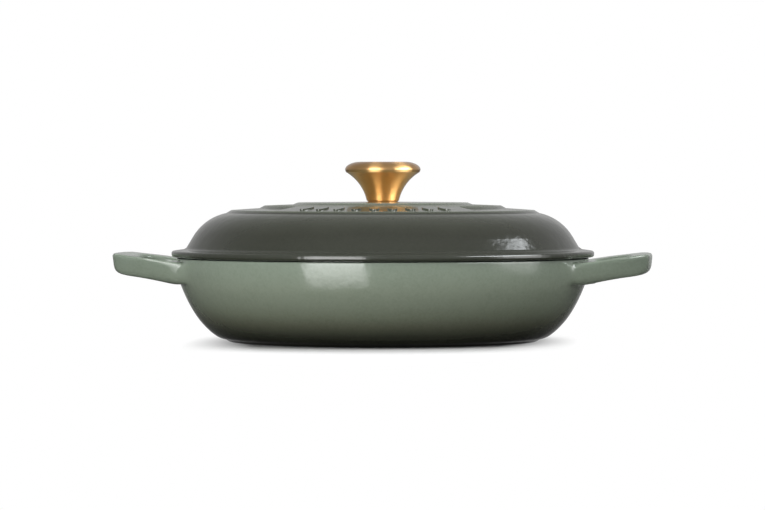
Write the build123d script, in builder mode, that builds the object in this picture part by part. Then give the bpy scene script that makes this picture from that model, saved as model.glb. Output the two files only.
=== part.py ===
from build123d import *
import os
from math import cos, radians, sin

os.makedirs("parts", exist_ok=True)

# A round, shallow braiser of enamelled cast iron with two loop handles, and a stepped lid with a flared
# metal knob. Lengths are millimetres and angles are degrees. +Z is up, the origin is on the floor below
# the pan's middle, and the handles lie along X. Round outlines are drawn as (radius, height) pairs.

overrun = 5.0  # how far every cutting shape runs past what it cuts

# Pan: a short upright band, a slow curve, a rounded belly and a tighter heel above the foot
rim_radius = 128.0
band_height = 51.0  # where the green stops and the black rim coat starts
wall_radius_shares = (0.9805, 0.889, 0.804)  # of the rim's radius, at the joints between the arcs
wall_height_shares = (0.698, 0.259, 0.0627)  # of the band's height, at the same joints
foot_radius = 95.4
foot_edge_width = 2.6
foot_edge_height = 1.9
foot_step_width = 1.2
base_recess_radius = 80.0
base_recess_depth = 0.6
base_recess_slope = 1.2
wall_thickness = 3.3
base_thickness = 4.2
lining_thickness = 0.5
rim_coat_height = 1.3
rim_edge_radius = 1.1

# Handles: two loops, cast with the pan, that rise outwards
handle_tilt = 9.4
handle_length = 39.5  # along its slope, from the rim's radius to the outer end
handle_root_height = 43.7  # of the loop's middle, at the rim's radius
handle_thickness = 12.6
handle_root_half_width = 45.0
handle_tip_half_width = 38.0
handle_tip_bow = 4.5  # how far the outer end bows outwards
handle_corner_radius = 23.0
handle_root_depth = 20.0  # how far the loop starts inside the rim's radius
grip_bar_width = 14.5
grip_root_gap = 4.8  # from the rim's radius to the opening
grip_corner_shares = (0.55, 0.32)  # of the opening's depth, at its outer and inner corners
handle_top_edge_radius = 4.2
handle_bottom_edge_radius = 3.2
handle_blend_radius = 1.1

# Lid: the brim, a steep flank, a rounded shoulder and three steps
seat_clearance = 0.3  # between the lid's brim and the pan's rim
brim_overhang = 3.4
brim_edge_thickness = 3.7
brim_edge_radius = 1.5
flank_radius_shares = (0.933, 0.898)  # of the brim's radius, at the flank's foot and top
flank_height_shares = (0.182, 0.465)  # of the shoulder's rise
flank_foot_blend = 3.0
shoulder_rise = 27.3  # from under the brim to the foot of the outer step
step_radius_shares = (0.741, 0.584, 0.426)  # of the brim's radius, at the foot of each step
step_run = 3.0  # each step climbs over this much radius
step_blend = 1.2
outer_step_rise = 1.8
outer_terrace_rise = 1.2
middle_step_rise = 1.6
middle_terrace_rise = 0.7
inner_step_rise = 1.2
inner_terrace_rise = 0.45
seat_flat_radius = 13.0
lid_thickness = 3.5
lid_middle_thickness = 4.0
ceiling_radius_share = 0.704  # of the brim's radius, where the underside turns down
ceiling_drop = 4.85  # of the underside at that radius below its middle
brim_coat_thickness = 0.4
spigot_play = 1.6  # between the ring under the lid and the pan's lining
spigot_width = 3.6
spigot_depth = 3.0
spigot_edge_radius = 1.1

# Front and back windows, where the middle step stops and a row of plain oval beads stands instead
window_half_angle = 41.0
channel_corner_radius = 5.0
bead_count = 9
bead_pitch_angle = 7.4
bead_length_share = 0.6  # of the terrace's width
bead_width = 6.0
bead_height = 0.8

# Knob, its screw and the two washers under the lid
knob_height = 24.9
knob_radius = 23.5
knob_widest_height = 19.9  # above the lid
knob_top_flat_radius = 14.0
knob_crease_radius = 23.0
knob_crease_height = 18.5
knob_flare_radius = 13.9  # the flare passes through here
knob_flare_height = 9.9
knob_stem_radius = 10.1
knob_base_radius = 9.1
knob_base_height = 0.9
thread_radius = 3.0
thread_engagement = 10.0
thread_clearance = 0.05
knob_bore_runout = 2.2
screw_head_radius = 6.0
screw_head_height = 3.4
screw_head_edge_radius = 1.6
screw_tip_bevel = 0.6
cross_length = 6.4
cross_width = 1.6
cross_depth = 1.9
cross_draft = 5.0
lid_hole_radius = 4.2
washer_radius = 9.0
washer_bore_radius = 3.3
washer_thickness = 1.2
lock_washer_radius = 5.9
lock_washer_bore_radius = 3.3
lock_washer_thickness = 1.6
lock_washer_gap = 1.0
lock_washer_gap_angle = 25.0

# Heights and radii that follow from the driving sizes
section_plane = Plane.YZ
rim_height = band_height + rim_coat_height
rim_land = wall_thickness + lining_thickness
iron_floor_height = base_recess_depth + base_thickness
brim_radius = rim_radius + brim_overhang
brim_base_height = rim_height + seat_clearance
spigot_outer_radius = rim_radius - rim_land - spigot_play
spigot_inner_radius = spigot_outer_radius - spigot_width
spigot_base_height = brim_base_height - spigot_depth
outer_step_foot = (brim_radius * step_radius_shares[0], brim_base_height + shoulder_rise)
outer_step_top = (outer_step_foot[0] - step_run, outer_step_foot[1] + outer_step_rise)
middle_step_foot = (brim_radius * step_radius_shares[1], outer_step_top[1] + outer_terrace_rise)
middle_step_top = (middle_step_foot[0] - step_run, middle_step_foot[1] + middle_step_rise)
inner_step_foot = (brim_radius * step_radius_shares[2], middle_step_top[1] + middle_terrace_rise)
inner_step_top = (inner_step_foot[0] - step_run, inner_step_foot[1] + inner_step_rise)
knob_seat_height = inner_step_top[1] + inner_terrace_rise
ceiling_height = knob_seat_height - lid_middle_thickness
washer_top_height = ceiling_height - lining_thickness
lock_washer_top_height = washer_top_height - washer_thickness
head_top_height = lock_washer_top_height - lock_washer_thickness
flank_foot, flank_top = [
    Vector(brim_radius * radius_share, brim_base_height + shoulder_rise * height_share)
    for radius_share, height_share in zip(flank_radius_shares, flank_height_shares)
]


def inward(curve, share, depth):
    """The point at a share of a curve's length, moved to the right of its direction by depth."""
    tangent = curve % share
    return curve @ share + Vector(tangent.Y, -tangent.X) * depth


def wall_curves():
    """The outside of the pan's wall, from the band's top down to the heel, as tangent arcs."""
    joints = [
        (rim_radius * radius_share, band_height * height_share)
        for radius_share, height_share in zip(wall_radius_shares, wall_height_shares)
    ]
    upper = TangentArc((rim_radius, band_height), joints[0], tangent=(0, -1), mode=Mode.PRIVATE)
    belly = TangentArc(upper @ 1, joints[1], tangent=upper % 1, mode=Mode.PRIVATE)
    heel = TangentArc(belly @ 1, joints[2], tangent=belly % 1, mode=Mode.PRIVATE)
    return upper, belly, heel


def cavity_face(depth, floor_height):
    """The space inside the pan at a depth from its outside, above a floor."""
    upper, belly, heel = wall_curves()
    with BuildSketch(section_plane) as cavity:
        with BuildLine():
            for curve in (upper, belly):
                ThreePointArc(*[inward(curve, share, depth) for share in (0, 0.5, 1)])
            side_end = inward(belly, 1, depth)
            slope = belly % 1
            blend_run = (side_end.Y - floor_height) * (slope.X - 1) / slope.Y
            floor_edge = (side_end.X - blend_run, floor_height)
            TangentArc(side_end, floor_edge, tangent=slope)
            Polyline(
                floor_edge,
                (0, floor_height),
                (0, rim_height + overrun),
                (rim_radius - depth, rim_height + overrun),
                (rim_radius - depth, band_height),
            )
        make_face()
    return cavity.sketch


def loop_handle():
    """The handle on the +X side, before it joins the wall."""
    tilt = radians(handle_tilt)
    middle = Plane(
        origin=(rim_radius, 0, handle_root_height),
        x_dir=(cos(tilt), 0, sin(tilt)),
        z_dir=(-sin(tilt), 0, cos(tilt)),
    )
    grip_length = handle_length - grip_bar_width
    outer_corner, inner_corner = [(grip_length - grip_root_gap) * share for share in grip_corner_shares]
    grip_tip_half_width = handle_tip_half_width - grip_bar_width
    grip_root_half_width = handle_root_half_width - grip_bar_width
    with BuildPart() as handle:
        with BuildSketch(middle) as loop:
            with BuildLine():
                ThreePointArc(
                    (handle_length - handle_tip_bow, -handle_tip_half_width),
                    (handle_length, 0),
                    (handle_length - handle_tip_bow, handle_tip_half_width),
                )
                Polyline(
                    (handle_length - handle_tip_bow, handle_tip_half_width),
                    (-handle_root_depth, handle_root_half_width),
                    (-handle_root_depth, -handle_root_half_width),
                    (handle_length - handle_tip_bow, -handle_tip_half_width),
                )
            make_face()
            fillet(loop.vertices().group_by(Axis.X)[-1], handle_corner_radius)
        extrude(amount=handle_thickness / 2, both=True)
        with BuildSketch(middle) as grip:
            with BuildLine():
                ThreePointArc(
                    (grip_length - handle_tip_bow, -grip_tip_half_width),
                    (grip_length, 0),
                    (grip_length - handle_tip_bow, grip_tip_half_width),
                )
                Line(
                    (grip_length - handle_tip_bow, grip_tip_half_width),
                    (grip_root_gap - handle_tip_bow, grip_root_half_width),
                )
                ThreePointArc(
                    (grip_root_gap - handle_tip_bow, grip_root_half_width),
                    (grip_root_gap, 0),
                    (grip_root_gap - handle_tip_bow, -grip_root_half_width),
                )
                Line(
                    (grip_root_gap - handle_tip_bow, -grip_root_half_width),
                    (grip_length - handle_tip_bow, -grip_tip_half_width),
                )
            make_face()
            fillet(grip.vertices().group_by(Axis.X)[-1], outer_corner)
            fillet(grip.vertices().group_by(Axis.X)[0], inner_corner)
        extrude(amount=handle_thickness, both=True, mode=Mode.SUBTRACT)
        upright = Axis(middle.origin, middle.z_dir)
        root_end = Plane(origin=middle.origin, z_dir=middle.x_dir).offset(-handle_root_depth)
        for side, radius in ((-1, handle_top_edge_radius), (0, handle_bottom_edge_radius)):
            edges = handle.faces().sort_by(upright)[side].edges()
            fillet(
                [edge for edge in edges if root_end.to_local_coords(edge.center()).Z > overrun],
                radius,
            )
    return handle.part


def lid_outside():
    """The lid's top outline from the middle out to the foot of its flank, without the middle step."""
    with BuildLine() as outline:
        Line((0, knob_seat_height), (seat_flat_radius, knob_seat_height))
        steps = FilletPolyline(
            (seat_flat_radius, knob_seat_height),
            inner_step_top,
            inner_step_foot,
            middle_step_top,
            outer_step_top,
            outer_step_foot,
            radius=step_blend,
        )
        flank = Line(flank_top, flank_foot)
        TangentArc(flank @ 0, steps @ 1, tangent=-(flank % 0))
    return outline.line


def vault_face(depth):
    """The space under the lid at a depth from the iron's underside."""
    flank = Line(flank_foot, flank_top, mode=Mode.PRIVATE)
    flank_end = inward(flank, 1, -lid_thickness - depth)
    flank_grade = (flank % 0).Y / (flank % 0).X
    ring_radius = spigot_inner_radius - depth
    ring_top = flank_end.Y + (ring_radius - flank_end.X) * flank_grade
    with BuildSketch(section_plane) as vault:
        with BuildLine():
            dome = TangentArc(
                (seat_flat_radius, ceiling_height - depth),
                (brim_radius * ceiling_radius_share, ceiling_height - ceiling_drop - depth),
                tangent=(1, 0),
            )
            TangentArc(dome @ 1, flank_end, tangent=dome % 1)
            Polyline(
                flank_end,
                (ring_radius, ring_top),
                (ring_radius, spigot_base_height - overrun),
                (0, spigot_base_height - overrun),
                (0, ceiling_height - depth),
                dome @ 0,
            )
        make_face()
    return vault.sketch


def step_channel():
    """What the middle step takes out of the slope between the windows, on the +X side."""
    with BuildPart() as channel:
        with BuildSketch(section_plane):
            with BuildLine():
                Polyline(
                    middle_step_top,
                    middle_step_foot,
                    outer_step_top,
                    (outer_step_top[0], middle_step_top[1]),
                    close=True,
                )
            make_face()
        revolve(axis=Axis.Z)
        reach = 90 - window_half_angle
        with BuildSketch(Plane.XY.offset(outer_step_top[1] - overrun)) as sector:
            with BuildLine():
                far = CenterArc((0, 0), outer_step_top[0] + step_run, -reach, 2 * reach)
                near = CenterArc((0, 0), middle_step_top[0], -reach, 2 * reach)
                Line(far @ 0, near @ 0)
                Line(far @ 1, near @ 1)
            make_face()
            fillet(sector.vertices(), channel_corner_radius)
        extrude(amount=middle_step_rise + outer_terrace_rise + 2 * overrun, mode=Mode.INTERSECT)
    return channel.part


def bead_row():
    """The row of plain beads in the front window, standing on the slope."""
    width = outer_step_top[0] - middle_step_top[0]
    span = bead_pitch_angle * (bead_count - 1)
    with BuildPart() as beads:
        with BuildSketch(section_plane):
            with BuildLine():
                Polyline(
                    (middle_step_top[0], middle_step_top[1] + bead_height),
                    (outer_step_top[0], outer_step_top[1] + bead_height),
                    (outer_step_top[0], outer_step_top[1] - bead_height),
                    (middle_step_top[0], middle_step_top[1] - bead_height),
                    close=True,
                )
            make_face()
        revolve(axis=Axis.Z)
        with BuildSketch(Plane.XY.offset(outer_step_top[1] - overrun)):
            with PolarLocations(
                (outer_step_top[0] + middle_step_top[0]) / 2, bead_count, -90 - span / 2, span, endpoint=True
            ):
                Ellipse(width * bead_length_share / 2, bead_width / 2)
        extrude(amount=middle_step_rise + outer_terrace_rise + 2 * overrun, mode=Mode.INTERSECT)
    return beads.part


handle_solid = loop_handle()
channel_solid = step_channel()
bead_solid = bead_row()

# Pan: wall, base and both handles in one casting, hollowed last so that the handle roots stop at the wall
with BuildPart() as pan:
    with BuildSketch(section_plane):
        with BuildLine() as pan_outline:
            for curve in wall_curves():
                add(curve)
            Polyline(
                pan_outline.line @ 1,
                (foot_radius + foot_edge_width + foot_step_width, foot_edge_height),
                (foot_radius + foot_edge_width, foot_edge_height),
                (foot_radius, 0),
                (0, 0),
                (0, band_height),
                (rim_radius, band_height),
            )
        make_face()
    revolve(axis=Axis.Z)
    add(handle_solid)
    handle_seams = pan.edges(Select.NEW)
    fillet(handle_seams, handle_blend_radius)
    split(bisect_by=Plane.YZ, keep=Keep.TOP)
    mirror(about=Plane.YZ)
    with BuildSketch(section_plane):
        with BuildLine():
            Polyline(
                (0, -overrun),
                (base_recess_radius, -overrun),
                (base_recess_radius, 0),
                (base_recess_radius - base_recess_slope, base_recess_depth),
                (0, base_recess_depth),
                close=True,
            )
        make_face()
    revolve(axis=Axis.Z, mode=Mode.SUBTRACT)
    revolve(cavity_face(wall_thickness, iron_floor_height), axis=Axis.Z, mode=Mode.SUBTRACT)
pan.part.label = "pan"
export_step(pan.part, "parts/pan.step")

# Pan lining: the pale enamel inside, up to the rim coat
with BuildPart() as pan_lining:
    revolve(cavity_face(wall_thickness, iron_floor_height), axis=Axis.Z)
    revolve(
        cavity_face(rim_land, iron_floor_height + lining_thickness),
        axis=Axis.Z,
        mode=Mode.SUBTRACT,
    )
    split(bisect_by=Plane.XY.offset(band_height), keep=Keep.BOTTOM)
pan_lining.part.label = "pan_lining"
export_step(pan_lining.part, "parts/pan_lining.step")

# Pan rim coat: the black coat over the rounded top of the wall, drawn as a solid cap
with BuildPart() as pan_rim_coat:
    with BuildSketch(section_plane) as rim_section:
        with Locations((rim_radius, band_height)):
            Rectangle(rim_land, rim_coat_height, align=(Align.MAX, Align.MIN))
        fillet(rim_section.vertices().group_by(Axis.Y)[-1], rim_edge_radius)
    revolve(axis=Axis.Z)
pan_rim_coat.part.label = "pan_rim_coat"
export_step(pan_rim_coat.part, "parts/pan_rim_coat.step")

# Lid: one casting with its brim, steps, window beads and the ring that centres it in the pan
with BuildPart() as lid:
    with BuildSketch(section_plane) as lid_section:
        with BuildLine():
            add(lid_outside())
            Polyline(
                flank_foot,
                (brim_radius, brim_base_height + brim_edge_thickness),
                (brim_radius, brim_base_height),
                (spigot_outer_radius, brim_base_height),
                (spigot_outer_radius, spigot_base_height),
                (0, spigot_base_height),
                (0, knob_seat_height),
            )
        make_face()
        fillet(lid_section.vertices().group_by(Axis.X)[-1], brim_edge_radius)
        fillet(lid_section.vertices().sort_by_distance(flank_foot)[0], flank_foot_blend)
        fillet(lid_section.vertices().sort_by_distance(outer_step_foot)[0], step_blend)
        spigot_edge = (spigot_outer_radius, spigot_base_height)
        fillet(lid_section.vertices().sort_by_distance(spigot_edge)[0], spigot_edge_radius)
    revolve(axis=Axis.Z)
    with PolarLocations(0, 2):
        add(channel_solid, mode=Mode.SUBTRACT)
        add(bead_solid)
    revolve(vault_face(0), axis=Axis.Z, mode=Mode.SUBTRACT)
    with BuildSketch(Plane.XY.offset(brim_base_height)):
        Circle(brim_radius - brim_edge_radius)
        Circle(spigot_outer_radius, mode=Mode.SUBTRACT)
    extrude(amount=brim_coat_thickness, mode=Mode.SUBTRACT)
    with Locations((0, 0, knob_seat_height)):
        Hole(lid_hole_radius)
lid.part.label = "lid"
export_step(lid.part, "parts/lid.step")

# Lid lining: the pale enamel under the lid, inside the ring
with BuildPart() as lid_lining:
    revolve(vault_face(0), axis=Axis.Z)
    revolve(vault_face(lining_thickness), axis=Axis.Z, mode=Mode.SUBTRACT)
    split(bisect_by=Plane.XY.offset(spigot_base_height + spigot_edge_radius), keep=Keep.TOP)
    with Locations((0, 0, ceiling_height)):
        Hole(lid_hole_radius)
lid_lining.part.label = "lid_lining"
export_step(lid_lining.part, "parts/lid_lining.step")

# Lid rim coat: the black coat under the brim
with BuildPart() as lid_rim_coat:
    with BuildSketch(Plane.XY.offset(brim_base_height)):
        Circle(brim_radius - brim_edge_radius)
        Circle(spigot_outer_radius, mode=Mode.SUBTRACT)
    extrude(amount=brim_coat_thickness)
lid_rim_coat.part.label = "lid_rim_coat"
export_step(lid_rim_coat.part, "parts/lid_rim_coat.step")

# Knob: a flared stem under a rounded cap, with a threaded blind hole
with BuildPart() as knob:
    with BuildSketch(section_plane):
        with BuildLine():
            base = Polyline((0, 0), (knob_base_radius, 0), (knob_stem_radius, knob_base_height))
            flare = ThreePointArc(
                base @ 1,
                (knob_flare_radius, knob_flare_height),
                (knob_crease_radius, knob_crease_height),
            )
            side = Line(flare @ 1, (knob_radius, knob_widest_height))
            cap = EllipticalCenterArc(
                (knob_top_flat_radius, knob_widest_height),
                knob_radius - knob_top_flat_radius,
                knob_height - knob_widest_height,
                start_angle=0,
                arc_size=90,
            )
            Polyline((knob_top_flat_radius, knob_height), (0, knob_height), (0, 0))
        make_face()
    revolve(axis=Axis.Z)
    with BuildSketch():
        Circle(thread_radius + thread_clearance)
    extrude(amount=thread_engagement + knob_bore_runout, mode=Mode.SUBTRACT)
knob_piece = Pos(0, 0, knob_seat_height) * knob.part
knob_piece.label = "knob"
export_step(knob_piece, "parts/knob.step")

# Knob screw: a pan head with a cross recess under the lid, and a shank up into the knob
with BuildPart() as knob_screw:
    with BuildSketch(Plane.XY.offset(head_top_height)):
        Circle(screw_head_radius)
    extrude(amount=-screw_head_height)
    fillet(knob_screw.edges().group_by(Axis.Z)[0], screw_head_edge_radius)
    with BuildSketch(Plane.XY.offset(head_top_height)):
        Circle(thread_radius)
    extrude(amount=knob_seat_height + thread_engagement - head_top_height)
    chamfer(knob_screw.edges().group_by(Axis.Z)[-1], screw_tip_bevel)
    with BuildSketch(Plane.XY.offset(head_top_height - screw_head_height)):
        Rectangle(cross_length, cross_width)
        Rectangle(cross_width, cross_length)
    extrude(amount=cross_depth, taper=cross_draft, mode=Mode.SUBTRACT)
knob_screw.part.label = "knob_screw"
export_step(knob_screw.part, "parts/knob_screw.step")

# Screw washer: flat, against the lid's lining
with BuildPart() as screw_washer:
    with BuildSketch(Plane.XY.offset(lock_washer_top_height)):
        Circle(washer_radius)
        Circle(washer_bore_radius, mode=Mode.SUBTRACT)
    extrude(amount=washer_thickness)
screw_washer.part.label = "screw_washer"
export_step(screw_washer.part, "parts/screw_washer.step")

# Lock washer: a split ring between the flat washer and the screw's head
with BuildPart() as lock_washer:
    with BuildSketch(Plane.XY.offset(head_top_height)):
        Circle(lock_washer_radius)
        Circle(lock_washer_bore_radius, mode=Mode.SUBTRACT)
        with Locations(Location((lock_washer_radius, 0), lock_washer_gap_angle)):
            Rectangle(2 * lock_washer_radius, lock_washer_gap, mode=Mode.SUBTRACT)
    extrude(amount=lock_washer_thickness)
lock_washer.part.label = "lock_washer"
export_step(lock_washer.part, "parts/lock_washer.step")
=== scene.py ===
import bpy
import bmesh
from math import radians, degrees, sin, cos, pi, atan2
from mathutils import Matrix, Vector


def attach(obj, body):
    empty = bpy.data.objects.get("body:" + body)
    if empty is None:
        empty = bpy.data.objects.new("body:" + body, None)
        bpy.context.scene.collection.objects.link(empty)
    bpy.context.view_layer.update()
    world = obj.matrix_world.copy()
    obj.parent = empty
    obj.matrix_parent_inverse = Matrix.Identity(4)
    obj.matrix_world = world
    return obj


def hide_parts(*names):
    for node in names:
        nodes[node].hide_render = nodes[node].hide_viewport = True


# Enamelled round braiser: green pan and lid, gold knob. Metres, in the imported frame: +Z up, handles on X.

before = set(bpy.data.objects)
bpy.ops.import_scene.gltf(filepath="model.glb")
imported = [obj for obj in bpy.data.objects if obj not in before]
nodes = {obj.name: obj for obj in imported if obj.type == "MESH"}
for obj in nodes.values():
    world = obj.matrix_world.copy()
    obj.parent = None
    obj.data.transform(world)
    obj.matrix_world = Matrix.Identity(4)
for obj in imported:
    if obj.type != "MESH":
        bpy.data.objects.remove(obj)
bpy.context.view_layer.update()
scene = bpy.context.scene
bpy.ops.object.select_all(action="DESELECT")
print("frame loaded:", sorted(nodes))

mm = 0.001
weld = 0.02 * mm  # points closer than this are merged


# Shader maths: a wrapped socket adds its own Math nodes
class Wire:
    def __init__(self, tree, socket=None):
        self.tree = tree
        self.socket = socket

    def node(self, kind, settings={}, inputs={}, out=0):
        made = self.tree.nodes.new("ShaderNode" + kind)
        for name, value in settings.items():
            if name == "stops":
                ramp = made.color_ramp.elements
                while len(ramp) < len(value):
                    ramp.new(0.5)
                for element, (position, colour) in zip(ramp, value):
                    element.position = position
                    element.color = colour
            else:
                setattr(made, name, value)
        for name, value in inputs.items():
            if isinstance(value, Wire):
                self.tree.links.new(value.socket, made.inputs[name])
            else:
                made.inputs[name].default_value = value
        return Wire(self.tree, made.outputs[out]) if len(made.outputs) else made

    def other(self, out):
        return Wire(self.tree, self.socket.node.outputs[out])  # another output of the same node

    def math(self, operation, first, second=0.0, clamp=False):
        return self.node("Math", {"operation": operation, "use_clamp": clamp}, {0: first, 1: second})

    def __add__(self, other):
        return self.math("ADD", self, other)

    def __radd__(self, other):
        return self.math("ADD", other, self)

    def __sub__(self, other):
        return self.math("SUBTRACT", self, other)

    def __rsub__(self, other):
        return self.math("SUBTRACT", other, self)

    def __mul__(self, other):
        return self.math("MULTIPLY", self, other)

    def __rmul__(self, other):
        return self.math("MULTIPLY", other, self)

    def __truediv__(self, other):
        return self.math("DIVIDE", self, other)

    def __pow__(self, other):
        return self.math("POWER", self, other)

    def __abs__(self):
        return self.math("ABSOLUTE", self)

    def clamp(self):
        return self.math("ADD", self, 0.0, clamp=True)

    def blend(self, first, second):
        return self.node("Mix", {"data_type": "RGBA"}, {0: self, 6: first, 7: second}, out=2)

    def steps(self, stops):
        return self.node("ValToRGB", {"stops": stops}, {0: self})


def srgb(red, green, blue):
    # a colour given as 0 to 255 screen values
    linear = []
    for value in (red, green, blue):
        share = value / 255
        linear.append(share / 12.92 if share <= 0.04045 else ((share + 0.055) / 1.055) ** 2.4)
    return (*linear, 1.0)


def newMaterial(name):
    material = bpy.data.materials.new(name)
    material.use_nodes = True
    tree = material.node_tree
    tree.nodes.clear()
    return material, Wire(tree)


def finishMaterial(wire, settings):
    shader = wire.node("BsdfPrincipled", {}, settings)
    wire.node("OutputMaterial", {}, {"Surface": shader})


def axes(place):
    across = place.node("SeparateXYZ", {}, {0: place})
    return across, across.other(1), across.other(2)


def fromAxis(across, deep):
    return (across * across + deep * deep) ** 0.5


def noise(place, scale, detail, roughness):
    inputs = {"Vector": place, "Scale": scale, "Detail": detail, "Roughness": roughness}
    return place.node("TexNoise", {}, inputs)


def bump(relief, strength, distance):
    return relief.node("Bump", {}, {"Strength": strength, "Distance": distance, "Height": relief})


# In the settings of the finishes a noise is (scale per metre, detail, roughness) and a bump is (strength,
# distance in metres). A name that ends in From is where a mask starts, and one in Spread is how much
# the noise changes the roughness.

# Green enamel: the colour falls from sage to near black down the pan, partly its own fade and partly
# painted shade towards the foot, and from sage to dark olive out over the lid. One recipe, with the pan's
# stops on height and the lid's on radius.
enamelPan = {
    "outward": False, "span": 0.06,
    # the stops darken to near black at the foot: partly the enamel's own fade, partly painted shade
    "stops": [
        (0.00, srgb(22, 25, 17)), (0.065, srgb(48, 50, 40)), (0.116, srgb(62, 65, 54)),
        (0.22, srgb(96, 99, 84)), (0.33, srgb(117, 124, 107)), (0.43, srgb(128, 137, 120)),
        (0.58, srgb(138, 148, 131)), (0.85, srgb(144, 157, 141)),
    ],
}
enamelLid = {
    "outward": True, "span": 0.132,
    "stops": [
        (0.10, srgb(150, 160, 142)), (0.34, srgb(124, 132, 115)), (0.56, srgb(96, 101, 87)),
        (0.70, srgb(80, 84, 72)), (0.80, srgb(66, 69, 59)), (0.88, srgb(56, 58, 49)),
        (0.97, srgb(60, 63, 54)),
    ],
    # rings are (radius, reach, share): painted shade darkens the foot of each step, and a painted highlight
    # lightens its edge
    "paintedShadeRings": [(0.0556, 0.0013, 0.55), (0.0970, 0.0016, 0.7)],
    "paintedHighlightRings": [(0.0527, 0.0010, 0.35), (0.0942, 0.0012, 0.4)],
    # the middle step's painted shade stops at the front and back windows, where depth is more than this share
    # of the radius
    "sidePaintedShadeRings": [(0.0763, 0.0014, 0.6)], "windowShare": 0.755, "windowSharp": 18.0,
    "dull": [(0.0662, 0.0130, 0.25)],  # the floor of the windows is less glossy
}
glaze = {
    "cloud": (28.0, 4.0, 0.6), "pool": (160.0, 2.0, 0.5), "speck": (620.0, 2.0, 0.6),
    "drift": 0.05,  # how far the clouds shift the graded colour
    "shade": (0.55, 0.57, 0.5, 1.0), "cloudFrom": 0.38, "cloudShade": 0.3, "poolShade": 0.25,
    "speckFrom": 0.46, "speckShade": 0.55,
    # painted shade for the foot of the lid's steps, and a painted highlight for their edges
    "paintedShadeColour": srgb(30, 33, 25), "paintedHighlightColour": srgb(138, 148, 130),
    "peel": (300.0, 2.0, 0.5), "peelShare": 0.5, "swell": (130.0, 1.0, 0.4), "swellShare": 0.8,
    "bump": (0.26, 0.001), "roughness": 0.13, "roughSpread": 0.08, "index": 1.5,
    "coat": 0.25, "coatRoughness": 0.04,
}


def ringMask(radius, rings):
    total = 0.0
    for middle, reach, share in rings:
        total = (1 - abs(radius - middle) / reach).clamp() * share + total
    return total


def greenEnamel(name, look):
    material, wire = newMaterial(name)
    place = wire.node("TexCoord", out=3)
    across, deep, height = axes(place)
    along = fromAxis(across, deep) if look["outward"] else height
    cloud = noise(place, *glaze["cloud"])
    pool = noise(place, *glaze["pool"])
    speck = noise(place, *glaze["speck"])
    # the pan's stops carry painted shade towards its foot
    colour = (along / look["span"] + (cloud - 0.5) * glaze["drift"]).steps(look["stops"])
    shade = (cloud - glaze["cloudFrom"]) * glaze["cloudShade"]
    shade += (pool - 0.5) * glaze["poolShade"]
    shade += (speck - glaze["speckFrom"]) * glaze["speckShade"]
    shaded = {0: shade.clamp(), 6: colour, 7: glaze["shade"]}
    colour = wire.node("Mix", {"data_type": "RGBA", "blend_type": "MULTIPLY"}, shaded, out=2)
    roughness = glaze["roughness"]
    coat = glaze["coat"]
    if look["outward"]:
        beside = ((look["windowShare"] - abs(deep) / along) * look["windowSharp"]).clamp()
        window = ringMask(along, look["dull"])
        roughness = window + roughness
        coat = (coat - window).clamp()
        # painted shade in the foot of each step of the lid, and a painted highlight on its edge
        paintedShade = ringMask(along, look["paintedShadeRings"]) + ringMask(along, look["sidePaintedShadeRings"]) * beside
        colour = paintedShade.blend(colour, glaze["paintedShadeColour"])
        colour = ringMask(along, look["paintedHighlightRings"]).blend(colour, glaze["paintedHighlightColour"])
    peel = noise(place, *glaze["peel"]) * glaze["peelShare"]
    swell = noise(place, *glaze["swell"]) * glaze["swellShare"]
    finishMaterial(wire, {
        "Base Color": colour,
        "Roughness": roughness + (pool - 0.5) * glaze["roughSpread"],
        "IOR": glaze["index"],
        "Coat Weight": coat,
        "Coat Roughness": glaze["coatRoughness"],
        "Normal": bump(peel + swell, *glaze["bump"]),
    })
    return material


cream = {
    "cloud": (35.0, 4.0, 0.6), "darkCream": srgb(224, 214, 190), "lightCream": srgb(236, 228, 208),
    "speck": (900.0, 1.0, 0.5), "speckFrom": 0.7, "speckSharp": 14.0, "speckColour": srgb(196, 182, 154),
    "peel": (380.0, 2.0, 0.5), "peelShare": 0.3, "bump": (0.12, 0.001),
    "roughness": 0.12, "roughSpread": 0.06,
}


def paleEnamel(look):
    material, wire = newMaterial("paleEnamel")
    place = wire.node("TexCoord", out=3)
    cloud = noise(place, *look["cloud"])
    speck = ((noise(place, *look["speck"]) - look["speckFrom"]) * look["speckSharp"]).clamp()
    plain = cloud.blend(look["darkCream"], look["lightCream"])
    relief = cloud + noise(place, *look["peel"]) * look["peelShare"]
    finishMaterial(wire, {
        "Base Color": speck.blend(plain, look["speckColour"]),
        "Roughness": look["roughness"] + cloud * look["roughSpread"],
        "Normal": bump(relief, *look["bump"]),
    })
    return material


groundCoat = {
    "grain": (1400.0, 3.0, 0.6), "wear": (90.0, 4.0, 0.6), "wearFrom": 0.55, "wearSharp": 2.0,
    "coatColour": srgb(22, 22, 20), "wornColour": srgb(44, 42, 38), "bump": (0.35, 0.0003),
    "roughness": 0.5, "roughSpread": 0.2,
}


def blackCoat(look):
    material, wire = newMaterial("blackCoat")
    place = wire.node("TexCoord", out=3)
    grain = noise(place, *look["grain"])
    worn = ((noise(place, *look["wear"]) - look["wearFrom"]) * look["wearSharp"]).clamp()
    finishMaterial(wire, {
        "Base Color": worn.blend(look["coatColour"], look["wornColour"]),
        "Roughness": look["roughness"] + grain * look["roughSpread"],
        "Normal": bump(grain, *look["bump"]),
    })
    return material


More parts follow.
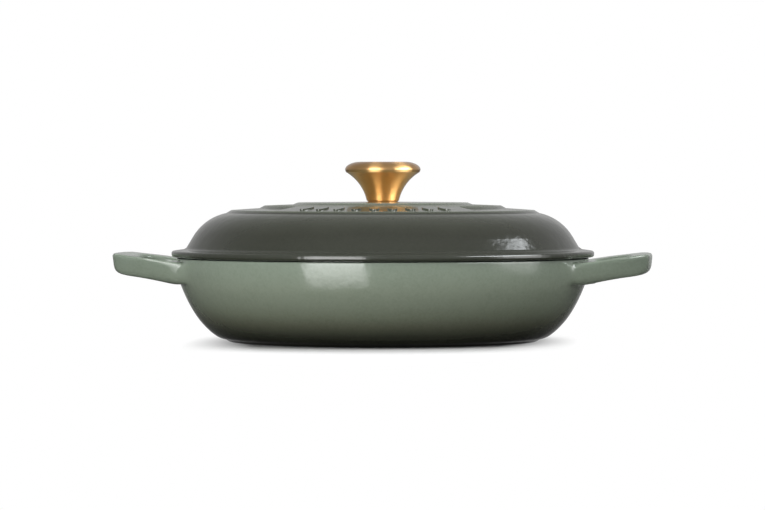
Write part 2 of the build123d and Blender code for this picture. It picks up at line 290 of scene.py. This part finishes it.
# Turned gold: rings come from a noise on radius and height alone, and the neck is a deeper, brighter orange
# than the cap, a painted reflection of the gold on itself
knobGold = {
    "fineRings": (5200.0, 2.0, 0.6), "wideRings": (900.0, 2.0, 0.5), "tarnish": (60.0, 3.0, 0.6),
    "neckWithPaintedReflection": (srgb(250, 178, 98), srgb(254, 192, 116)), "cap": (srgb(230, 178, 112), srgb(242, 194, 130)),
    "capFrom": 0.1045, "capOver": 0.00125, "bump": (0.3, 0.0002), "roughness": 0.3, "roughSpread": 0.1,
    "stretch": 1.0, "stretchTurn": 0.25,  # how far the rings stretch a highlight, and which way
    "coat": 0.7, "coatRoughness": 0.07,
}


def goldSteel(look):
    material, wire = newMaterial("goldSteel")
    place = wire.node("TexCoord", out=3)
    across, deep, height = axes(place)
    turned = wire.node("CombineXYZ", {}, {0: fromAxis(across, deep), 1: height, 2: 0.0})
    rings = noise(turned, *look["fineRings"])
    wide = noise(turned, *look["wideRings"])
    tarnish = noise(place, *look["tarnish"])
    onCap = ((height - look["capFrom"]) / look["capOver"]).clamp()
    finishMaterial(wire, {
        # the neck's deeper, brighter orange is a painted reflection
        "Base Color": onCap.blend(tarnish.blend(*look["neckWithPaintedReflection"]), tarnish.blend(*look["cap"])),
        "Metallic": 1.0,
        "Roughness": look["roughness"] + (rings - 0.5) * look["roughSpread"],
        "Anisotropic": look["stretch"],
        "Anisotropic Rotation": look["stretchTurn"],
        "Coat Weight": look["coat"],
        "Coat Roughness": look["coatRoughness"],
        "Normal": bump(rings + wide, *look["bump"]),
    })
    return material


plainSteel = {
    "scratch": (700.0, 4.0, 0.7), "colours": (srgb(176, 176, 172), srgb(204, 204, 200)),
    "bump": (0.2, 0.0002), "roughness": 0.28, "roughSpread": 0.12,
}


def screwSteel(look):
    material, wire = newMaterial("screwSteel")
    scratch = noise(wire.node("TexCoord", out=3), *look["scratch"])
    finishMaterial(wire, {
        "Base Color": scratch.blend(*look["colours"]),
        "Metallic": 1.0,
        "Roughness": look["roughness"] + scratch * look["roughSpread"],
        "Normal": bump(scratch, *look["bump"]),
    })
    return material


def dressNode(name, material):
    slots = nodes[name].data.materials
    slots.clear()
    slots.append(material)
    for face in nodes[name].data.polygons:
        face.use_smooth = True


panGreen = greenEnamel("panGreen", enamelPan)
pale = paleEnamel(cream)
black = blackCoat(groundCoat)
steel = screwSteel(plainSteel)
dressNode("lid", greenEnamel("lidGreen", enamelLid))
dressNode("pan_lining", pale)
dressNode("lid_lining", pale)
dressNode("pan_rim_coat", black)
dressNode("lid_rim_coat", black)
dressNode("knob", goldSteel(knobGold))
for name in ("knob_screw", "screw_washer", "lock_washer"):
    dressNode(name, steel)
print("materials made")


# Edit mode: pick faces or points by a test on their place, then act on what is picked
def startRing(name, columns, radius, height):
    bpy.ops.object.select_all(action="DESELECT")
    bpy.ops.mesh.primitive_circle_add(vertices=columns, radius=radius, location=(0, 0, 0))
    piece = bpy.context.object
    piece.name = name
    piece.data.name = name
    bpy.ops.object.mode_set(mode="EDIT")
    bpy.ops.mesh.select_all(action="SELECT")
    bpy.ops.transform.translate(value=(0, 0, height))
    return piece


def pick(piece, kind, test):
    bpy.ops.mesh.select_mode(type={"verts": "VERT", "edges": "EDGE", "faces": "FACE"}[kind])
    bpy.ops.mesh.select_all(action="DESELECT")
    mesh = bmesh.from_edit_mesh(piece.data)
    mesh.normal_update()
    items = getattr(mesh, kind)
    items.index_update()
    for item in items:
        if test(item):
            item.select_set(True)
    mesh.select_flush_mode()
    bmesh.update_edit_mesh(piece.data)


def picked(piece, kind):
    items = getattr(bmesh.from_edit_mesh(piece.data), kind)
    items.index_update()
    return {item.index for item in items if item.select}


def pickedMiddle(piece):
    places = [point.co for point in bmesh.from_edit_mesh(piece.data).verts if point.select]
    return sum(places, Vector()) / len(places)


def pickedFaceMiddles(piece):
    faces = bmesh.from_edit_mesh(piece.data).faces
    return [face.calc_center_median().copy() for face in faces if face.select]


def isNear(place, marks, distance):
    return any((place - mark).length < distance for mark in marks)


def turnOf(place):
    # degrees round from +X
    return degrees(atan2(place.y, place.x))


def climb(rings):
    # extrudes the picked ring through the rest of a profile of (radius, height) pairs
    for (radius, height), (lastRadius, lastHeight) in zip(rings[1:], rings):
        bpy.ops.mesh.extrude_region_move()
        share = radius / lastRadius
        bpy.ops.transform.resize(value=(share, share, 1), center_override=(0, 0, lastHeight))
        bpy.ops.transform.translate(value=(0, 0, height - lastHeight))


def closeMesh():
    bpy.ops.mesh.select_mode(type="VERT")
    bpy.ops.mesh.select_all(action="SELECT")
    bpy.ops.mesh.remove_doubles(threshold=weld)
    bpy.ops.mesh.normals_make_consistent(inside=False)
    bpy.ops.object.mode_set(mode="OBJECT")


def addModifier(piece, kind, settings):
    modifier = piece.modifiers.new(kind.title(), kind)
    for name, value in settings.items():
        setattr(modifier, name, value)
    bpy.ops.object.select_all(action="DESELECT")
    bpy.context.view_layer.objects.active = piece
    piece.select_set(True)
    bpy.ops.object.modifier_apply(modifier=modifier.name)


# Pan: one ring drawn up through the outside's profile, over the rim and down the inside, then a loop
# handle drawn out of the band on the +X side, and all of it mirrored. Millimetres.
panLook = {
    "columns": 48, "smooth": 2,
    # radius and height
    "base": [(8, 0.6), (76, 0.6), (78.6, 0.58), (80, 0.05), (82, 0), (93.6, 0), (95.7, 0.05)],
    "wall": [
        (97.9, 1.75), (99.4, 1.95), (101.3, 2.5), (103.6, 3.55), (107.2, 6.3), (110.4, 9.4), (113.9, 13.2),
        (117.3, 18.1), (120.2, 23.1), (122.7, 28.2), (124.7, 32.8), (126.0, 36.4), (127.55, 43.4),
        (128.1, 50.0), (128.14, 51.4), (127.9, 51.85),
    ],
    "inside": [
        (127.2, 51.9), (125.8, 51.3), (125.0, 50.4), (124.8, 47), (123.9, 40.4), (121.7, 32), (118.0, 23.4),
        (113.8, 16.6), (108.1, 10.5), (101.5, 6.4), (95.8, 4.6), (88, 4.3), (8, 4.3),
    ],
    # the root: a band of the wall drawn out, its lower points drawn in towards its middle
    "handleRows": (36.0, 50.5), "rootAngle": 23.0, "rootReach": 6.4, "rootDraft": (1.2, 1.4),
    "rootInner": 20.0,
    # its outer lower points drop, so that the wall has an undercut line below it
    "rootDrop": 1.5, "hookFrom": 40.0,
    # each step of an arm: out, sideways, up, its width and height against the step before, and its turn
    "armAngle": 14.0,
    "armSteps": [
        (10.0, -0.2, 1.7, 0.92, 0.99, 1), (13.4, -2.4, 2.1, 1.0, 0.97, 5), (14.2, -6.5, 1.9, 1.0, 1.0, 13)],
    # how much narrower the arms are below a level near their middle, and again below the next
    "draft": (0.84, 0.74), "draftLevels": (2.0, -3.0),
    # the bar between the arms: its cuts, and the bow of its middle, which takes in a share of the last step
    "barCuts": 3, "bowShare": 1.3, "bowHalf": 16.0, "bowOut": 1.6,
    # creases of the handle's edges, outside the wall
    "handleFrom": 126.0, "creaseFrom": 130.0, "topCrease": 0.38, "lowCrease": 0.12,
    # the arms' top edges are crisper near the wall: reach and crease
    "shoulders": [(147.0, 0.3), (162.0, 0.22)], "shoulderFrom": 127.5, "shoulderDrop": 1.5,
    # the edge under the root
    "underFrom": 110.0, "underAngle": 22.6, "underNear": 0.6, "underCrease": 0.7,
    "slack": 1.0, "sameFace": 3.0, "samePoint": 0.1,  # how near counts as at a level, a face or a point
    "facing": 0.5, "flat": 0.6,  # a normal's share along an axis, from which a face looks that way
}


def halfPan(look):
    swell = 3 / (2 + cos(2 * pi / look["columns"]))  # the smoothed ring comes out a little smaller
    profile = look["base"] + look["wall"] + look["inside"]
    rings = [(radius * swell * mm, height * mm) for radius, height in profile]
    pan = startRing("panBody", look["columns"], *rings[0])
    bpy.ops.mesh.edge_face_add()
    pick(pan, "edges", lambda edge: True)
    climb(rings)
    bpy.ops.mesh.edge_face_add()
    bpy.ops.mesh.select_all(action="SELECT")
    bpy.ops.mesh.normals_make_consistent(inside=False)
    bpy.ops.mesh.bisect(plane_co=(0, 0, 0), plane_no=(1, 0, 0), clear_inner=True)
    return pan


def drawRoot(pan, look, low, high):
    # draws the root out of the wall, and returns the middles of its end faces and its outer lower points
    def inBand(face):
        middle = face.calc_center_median()
        turn = abs(turnOf(middle))
        return low < middle.z < high and turn < look["rootAngle"] and face.normal.x > look["facing"]

    pick(pan, "faces", inBand)
    bpy.ops.mesh.extrude_region_move()
    bpy.ops.transform.translate(value=(look["rootReach"] * mm, 0, 0))
    middles = pickedFaceMiddles(pan)
    outline = picked(pan, "verts")

    def isLow(point, level):
        return point.index in outline and point.co.z < level + look["slack"] * mm

    for side in (1, -1):
        inner = look["rootInner"] * mm
        for level, inward in zip((0.5 * (low + high), low), look["rootDraft"]):
            pick(pan, "verts", lambda point: isLow(point, level) and point.co.y * side > inner)
            bpy.ops.transform.translate(value=(0, -side * inward * mm, 0))
    hooks = [point.co.copy() for point in bmesh.from_edit_mesh(pan.data).verts if (
        isLow(point, low) and abs(point.co.y) > look["hookFrom"] * mm)]
    return middles, hooks


def drawArm(pan, look, middles, side):
    ends = [middle for middle in middles if turnOf(middle) * side > look["armAngle"]]
    pick(pan, "faces", lambda face: isNear(face.calc_center_median(), ends, look["sameFace"] * mm))
    for out, across, up, width, tall, turn in look["armSteps"]:
        bpy.ops.mesh.extrude_region_move()
        bpy.ops.transform.translate(value=(out * mm, side * across * mm, up * mm))
        middle = pickedMiddle(pan)
        bpy.ops.transform.resize(value=(1, width, tall), center_override=middle)
        bpy.ops.transform.rotate(value=radians(turn) * side, orient_axis="Z", center_override=middle)
        tip = picked(pan, "faces")
        points = picked(pan, "verts")
        for level, share in zip(look["draftLevels"], look["draft"]):
            pick(pan, "verts", lambda point: point.index in points and point.co.z < middle.z + level * mm)
            bpy.ops.transform.resize(value=(1, share, 1), center_override=pickedMiddle(pan))
        pick(pan, "faces", lambda face: face.index in tip)


def joinArms(pan, look, tip):
    # bridges the arms' facing sides at their tips, and bows the bar between them
    last = look["armSteps"][-1][0] * mm

    def facesAcross(face):
        middle = face.calc_center_median()
        return middle.x > tip - last and face.normal.y * middle.y < -look["facing"] * abs(middle.y)

    def isBar(point):
        return point.co.x > tip - last * look["bowShare"] and abs(point.co.y) < look["bowHalf"] * mm

    pick(pan, "faces", facesAcross)
    bpy.ops.mesh.bridge_edge_loops(number_cuts=look["barCuts"], interpolation="LINEAR")
    pick(pan, "verts", isBar)
    bpy.ops.transform.translate(value=(look["bowOut"] * mm, 0, 0))


def creaseHandle(pan, look, low, high):
    def isCorner(edge, way):
        # one of its faces looks up, or down, and the other doesn't
        turns = [face.normal.z * way for face in edge.link_faces]
        return len(turns) == 2 and max(turns) > look["flat"] and min(turns) < look["facing"]

    def onHandle(point):
        return point.co.x > look["handleFrom"] * mm and point.co.xy.length > look["creaseFrom"] * mm

    def onShoulder(point, reach):
        atTop = point.co.z > high - look["shoulderDrop"] * mm
        return atTop and point.co.xy.length > look["shoulderFrom"] * mm and point.co.x < reach * mm

    def isUnder(point):
        atLevel = abs(point.co.z - low) < look["underNear"] * mm
        return atLevel and point.co.x > look["underFrom"] * mm and abs(turnOf(point.co)) < look["underAngle"]

    def crease(value, test, way=0):
        pick(pan, "edges", lambda edge: all(test(point) for point in edge.verts) and (
            way == 0 or isCorner(edge, way)))
        bpy.ops.transform.edge_crease(value=value)

    crease(look["topCrease"], onHandle, 1)
    for reach, value in look["shoulders"]:
        crease(value, lambda point: onShoulder(point, reach), 1)
    crease(look["lowCrease"], onHandle, -1)
    crease(look["underCrease"], isUnder)


def makePan(look):
    low, high = [height * mm for height in look["handleRows"]]
    pan = halfPan(look)
    middles, hooks = drawRoot(pan, look, low, high)
    for side in (1, -1):
        drawArm(pan, look, middles, side)
    tip = max(middle.x for middle in pickedFaceMiddles(pan))
    pick(pan, "verts", lambda point: isNear(point.co, hooks, look["samePoint"] * mm))
    bpy.ops.transform.translate(value=(0, 0, -look["rootDrop"] * mm))
    joinArms(pan, look, tip)
    creaseHandle(pan, look, low, high)
    closeMesh()
    addModifier(pan, "MIRROR", {"use_axis": (True, False, False), "merge_threshold": weld})
    addModifier(pan, "SUBSURF", {"levels": look["smooth"], "render_levels": look["smooth"]})
    for face in pan.data.polygons:
        face.use_smooth = True
    pan.data.materials.append(panGreen)
    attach(pan, "pan")
    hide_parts("pan")
    reach = max(point.co.x for point in pan.data.vertices)
    print("pan made:", len(pan.data.polygons), "faces, handles reach", round(reach / mm, 2), "mm")


makePan(panLook)


# Stage: a pale floor that shows white to the camera and keeps the shadow, with a painted shadow darkening it
# under the pan, in a dim grey room
stage = {
    "floorSize": 12.0, "floorColour": (0.95, 0.95, 0.95, 1.0), "grainColour": (0.93, 0.93, 0.93, 1.0),
    "grain": (40.0, 2.0, 0.5),
    "bounceColour": (0.35, 0.35, 0.35, 1.0),  # the floor as all rays but the camera's see it
    # outside an oval that is longest to the front and back, the camera sees plain white
    "plainFrom": 0.15, "plainOver": 0.08, "plainSides": 1.9, "plainFront": 0.7,
    "paintedShadowColour": (0.38, 0.38, 0.38, 1.0), "paintedShadowFrom": 0.098, "paintedShadowOver": 0.035,  # a painted shadow on the floor under the pan
    "white": (1.0, 1.0, 1.0, 1.0),
    # where gloss sees the white backdrop: how far a direction points back, and how much of the white shows
    "wallFrom": 0.93, "wallOver": 0.05, "wallShare": 0.12,
    "frontLift": 0.6, "leftDim": 0.32,  # gloss sees the room brighter in front and darker on the left
    # the room that gloss and diffuse light see, from straight down to straight up
    "room": [
        (0.22, (0.015, 0.015, 0.015, 1.0)), (0.42, (0.08, 0.08, 0.08, 1.0)), (0.485, (0.28, 0.28, 0.28, 1.0)),
        (0.50, (0.32, 0.32, 0.32, 1.0)), (0.56, (0.44, 0.44, 0.44, 1.0)), (0.68, (0.44, 0.44, 0.45, 1.0)),
        (0.85, (0.34, 0.34, 0.345, 1.0)),
    ],
}


def makeFloor():
    bpy.ops.mesh.primitive_plane_add(size=stage["floorSize"], location=(0, 0, 0))
    floor = bpy.context.object
    floor.name = "floor"
    material, wire = newMaterial("floorPaper")
    place = wire.node("TexCoord", out=3)
    across, deep, _ = axes(place)
    oval = fromAxis(across * stage["plainSides"], deep * stage["plainFront"])
    far = ((oval - stage["plainFrom"]) / stage["plainOver"]).clamp()
    # painted shadow: the floor's colour darkens near the pan's foot
    clear = ((fromAxis(across, deep) - stage["paintedShadowFrom"]) / stage["paintedShadowOver"]).clamp()
    sheet = noise(place, *stage["grain"]).blend(stage["floorColour"], stage["grainColour"])
    paper = wire.node("BsdfDiffuse", {}, {"Color": clear.blend(stage["paintedShadowColour"], sheet)})
    bounce = wire.node("BsdfDiffuse", {}, {"Color": stage["bounceColour"]})
    white = wire.node("Emission", {}, {"Color": stage["white"], "Strength": 1.0})
    toCamera = wire.node("MixShader", {}, {0: far, 1: paper, 2: white})
    seen = wire.node("MixShader", {}, {0: wire.node("LightPath"), 1: bounce, 2: toCamera})
    wire.node("OutputMaterial", {}, {"Surface": seen})
    floor.data.materials.append(material)
    floor.visible_glossy = False


def makeRoom():
    world = bpy.data.worlds.new("studio")
    scene.world = world
    world.use_nodes = True
    world.node_tree.nodes.clear()
    wire = Wire(world.node_tree)
    across, behind, rise = axes(wire.node("TexCoord"))
    room = (rise * 0.5 + 0.5).steps(stage["room"])
    # the camera and clear pieces see white all round, gloss only behind and at a small share
    camera = wire.node("LightPath")
    gloss = camera.other("Is Glossy Ray")
    through = camera.other("Is Transmission Ray")
    wall = ((behind - stage["wallFrom"]) / stage["wallOver"]).clamp() * stage["wallShare"]
    backdrop = (camera + through + gloss * wall).clamp().blend(room, stage["white"])
    front = (0 - behind).clamp() * stage["frontLift"]
    left = (0 - across).clamp() * stage["leftDim"]
    light = wire.node("Background", {}, {"Color": backdrop, "Strength": gloss * (front - left) + 1.0})
    wire.node("OutputWorld", {}, {"Surface": light})


# Soft boxes, each aimed at the middle of the pan from its turn and rise in degrees and its distance away.
# glow is how bright the box looks in the enamel. It fades over the edge share at its sides and top, over
# the foot share at its bottom, and downwards by the fall share. lean slopes the two sides and slant
# the top, back and top end the box short of its rear side and its top, and tint is its colour.
plainBox = {
    "away": 1.7, "aimHeight": 0.05, "edge": 0.05, "foot": 0.05, "fall": 0.0, "lean": 0.0, "slant": 0.0,
    "back": 1.0, "top": 1.0, "tint": (1.0, 1.0, 1.0), "gloss": True, "matte": True,
}
lamps = {
    "frontBox": {
        "turn": -22.0, "rise": -12.0, "away": 1.25, "wide": 0.80, "tall": 0.96, "glow": 10.0,
        "edge": 0.10, "foot": 0.10, "fall": 0.97},
    "highBox": {
        "turn": -22.5, "rise": 26.0, "away": 1.25, "wide": 0.76, "tall": 0.8, "glow": 5.0,
        "edge": 0.15, "foot": 0.15, "matte": False},
    "rightBox": {
        "turn": 81.0, "rise": 8.0, "away": 1.4, "wide": 1.05, "tall": 1.2, "glow": 7.0,
        "edge": 0.3, "foot": 0.3, "fall": 0.75, "matte": False},
    "lidBox": {
        "turn": 76.0, "rise": 30.5, "away": 1.4, "wide": 1.5, "tall": 1.0, "glow": 11.0, "edge": 0.25,
        "foot": 0.1, "lean": 0.9, "back": 0.93, "slant": 0.245, "top": 0.78, "tint": (0.93, 0.97, 1.0),
        "matte": False},
    "fillBox": {"turn": -26.0, "rise": 20.0, "wide": 1.6, "tall": 1.0, "glow": 2.2, "gloss": False},
    "sideBox": {"turn": 75.0, "rise": 42.0, "wide": 1.6, "tall": 1.0, "glow": 2.3, "gloss": False},
    "topBox": {
        "turn": 180.0, "rise": 62.0, "away": 1.6, "wide": 1.5, "tall": 1.2, "glow": 3.2, "gloss": False},
}


def softEdges(data, look):
    data.use_nodes = True
    data.node_tree.nodes.clear()
    wire = Wire(data.node_tree)
    along, up, _ = axes(wire.node("NewGeometry", out="Parametric"))
    edge = look["edge"]
    leaned = along - (up - 0.5) * look["lean"]
    risen = up - (along - 0.5) * look["slant"]
    sides = (leaned / edge).clamp() * ((look["back"] - leaned) / edge).clamp()
    ends = (up / look["foot"]).clamp() * ((look["top"] - risen) / edge).clamp()
    strength = sides * ends * (1 - (1 - up) * look["fall"]).clamp()
    wire.node("OutputLight", {}, {"Surface": wire.node("Emission", {}, {"Strength": strength})})


def makeLamps():
    for name, changes in lamps.items():
        look = {**plainBox, **changes}
        turn, rise = radians(look["turn"]), radians(look["rise"])
        away = Vector((sin(turn) * cos(rise), -cos(turn) * cos(rise), sin(rise)))
        data = bpy.data.lights.new(name, "AREA")
        data.shape = "RECTANGLE"
        data.size = look["wide"]
        data.size_y = look["tall"]
        data.energy = look["glow"] * pi * look["wide"] * look["tall"]
        data.color = look["tint"]
        softEdges(data, look)
        lamp = bpy.data.objects.new(name, data)
        scene.collection.objects.link(lamp)
        lamp.visible_glossy = look["gloss"]
        lamp.visible_diffuse = look["matte"]
        lamp.location = away * look["away"] + Vector((0, 0, look["aimHeight"]))
        lamp.rotation_euler = away.to_track_quat("Z", "Y").to_euler()


# Camera: level with the knob, a little to the right of the pan's front
eye = {
    "turn": 3.5, "away": 2.5, "height": 0.107, "aim": (-0.0002, 0.0, 0.0537),
    "lens": 189.0, "sensor": 36.0, "sight": 50.0,
}


def makeCamera():
    turn = radians(eye["turn"])
    data = bpy.data.cameras.new("photoCamera")
    data.lens = eye["lens"]
    data.sensor_width = eye["sensor"]
    data.clip_end = eye["sight"]
    camera = bpy.data.objects.new("photoCamera", data)
    scene.collection.objects.link(camera)
    camera.location = (eye["away"] * sin(turn), -eye["away"] * cos(turn), eye["height"])
    aim = Vector(eye["aim"])
    camera.rotation_euler = (aim - camera.location).to_track_quat("-Z", "Y").to_euler()
    scene.camera = camera


makeFloor()
makeRoom()
makeLamps()
makeCamera()
scene.view_settings.view_transform = "Standard"
print("stage, lamps and camera made")
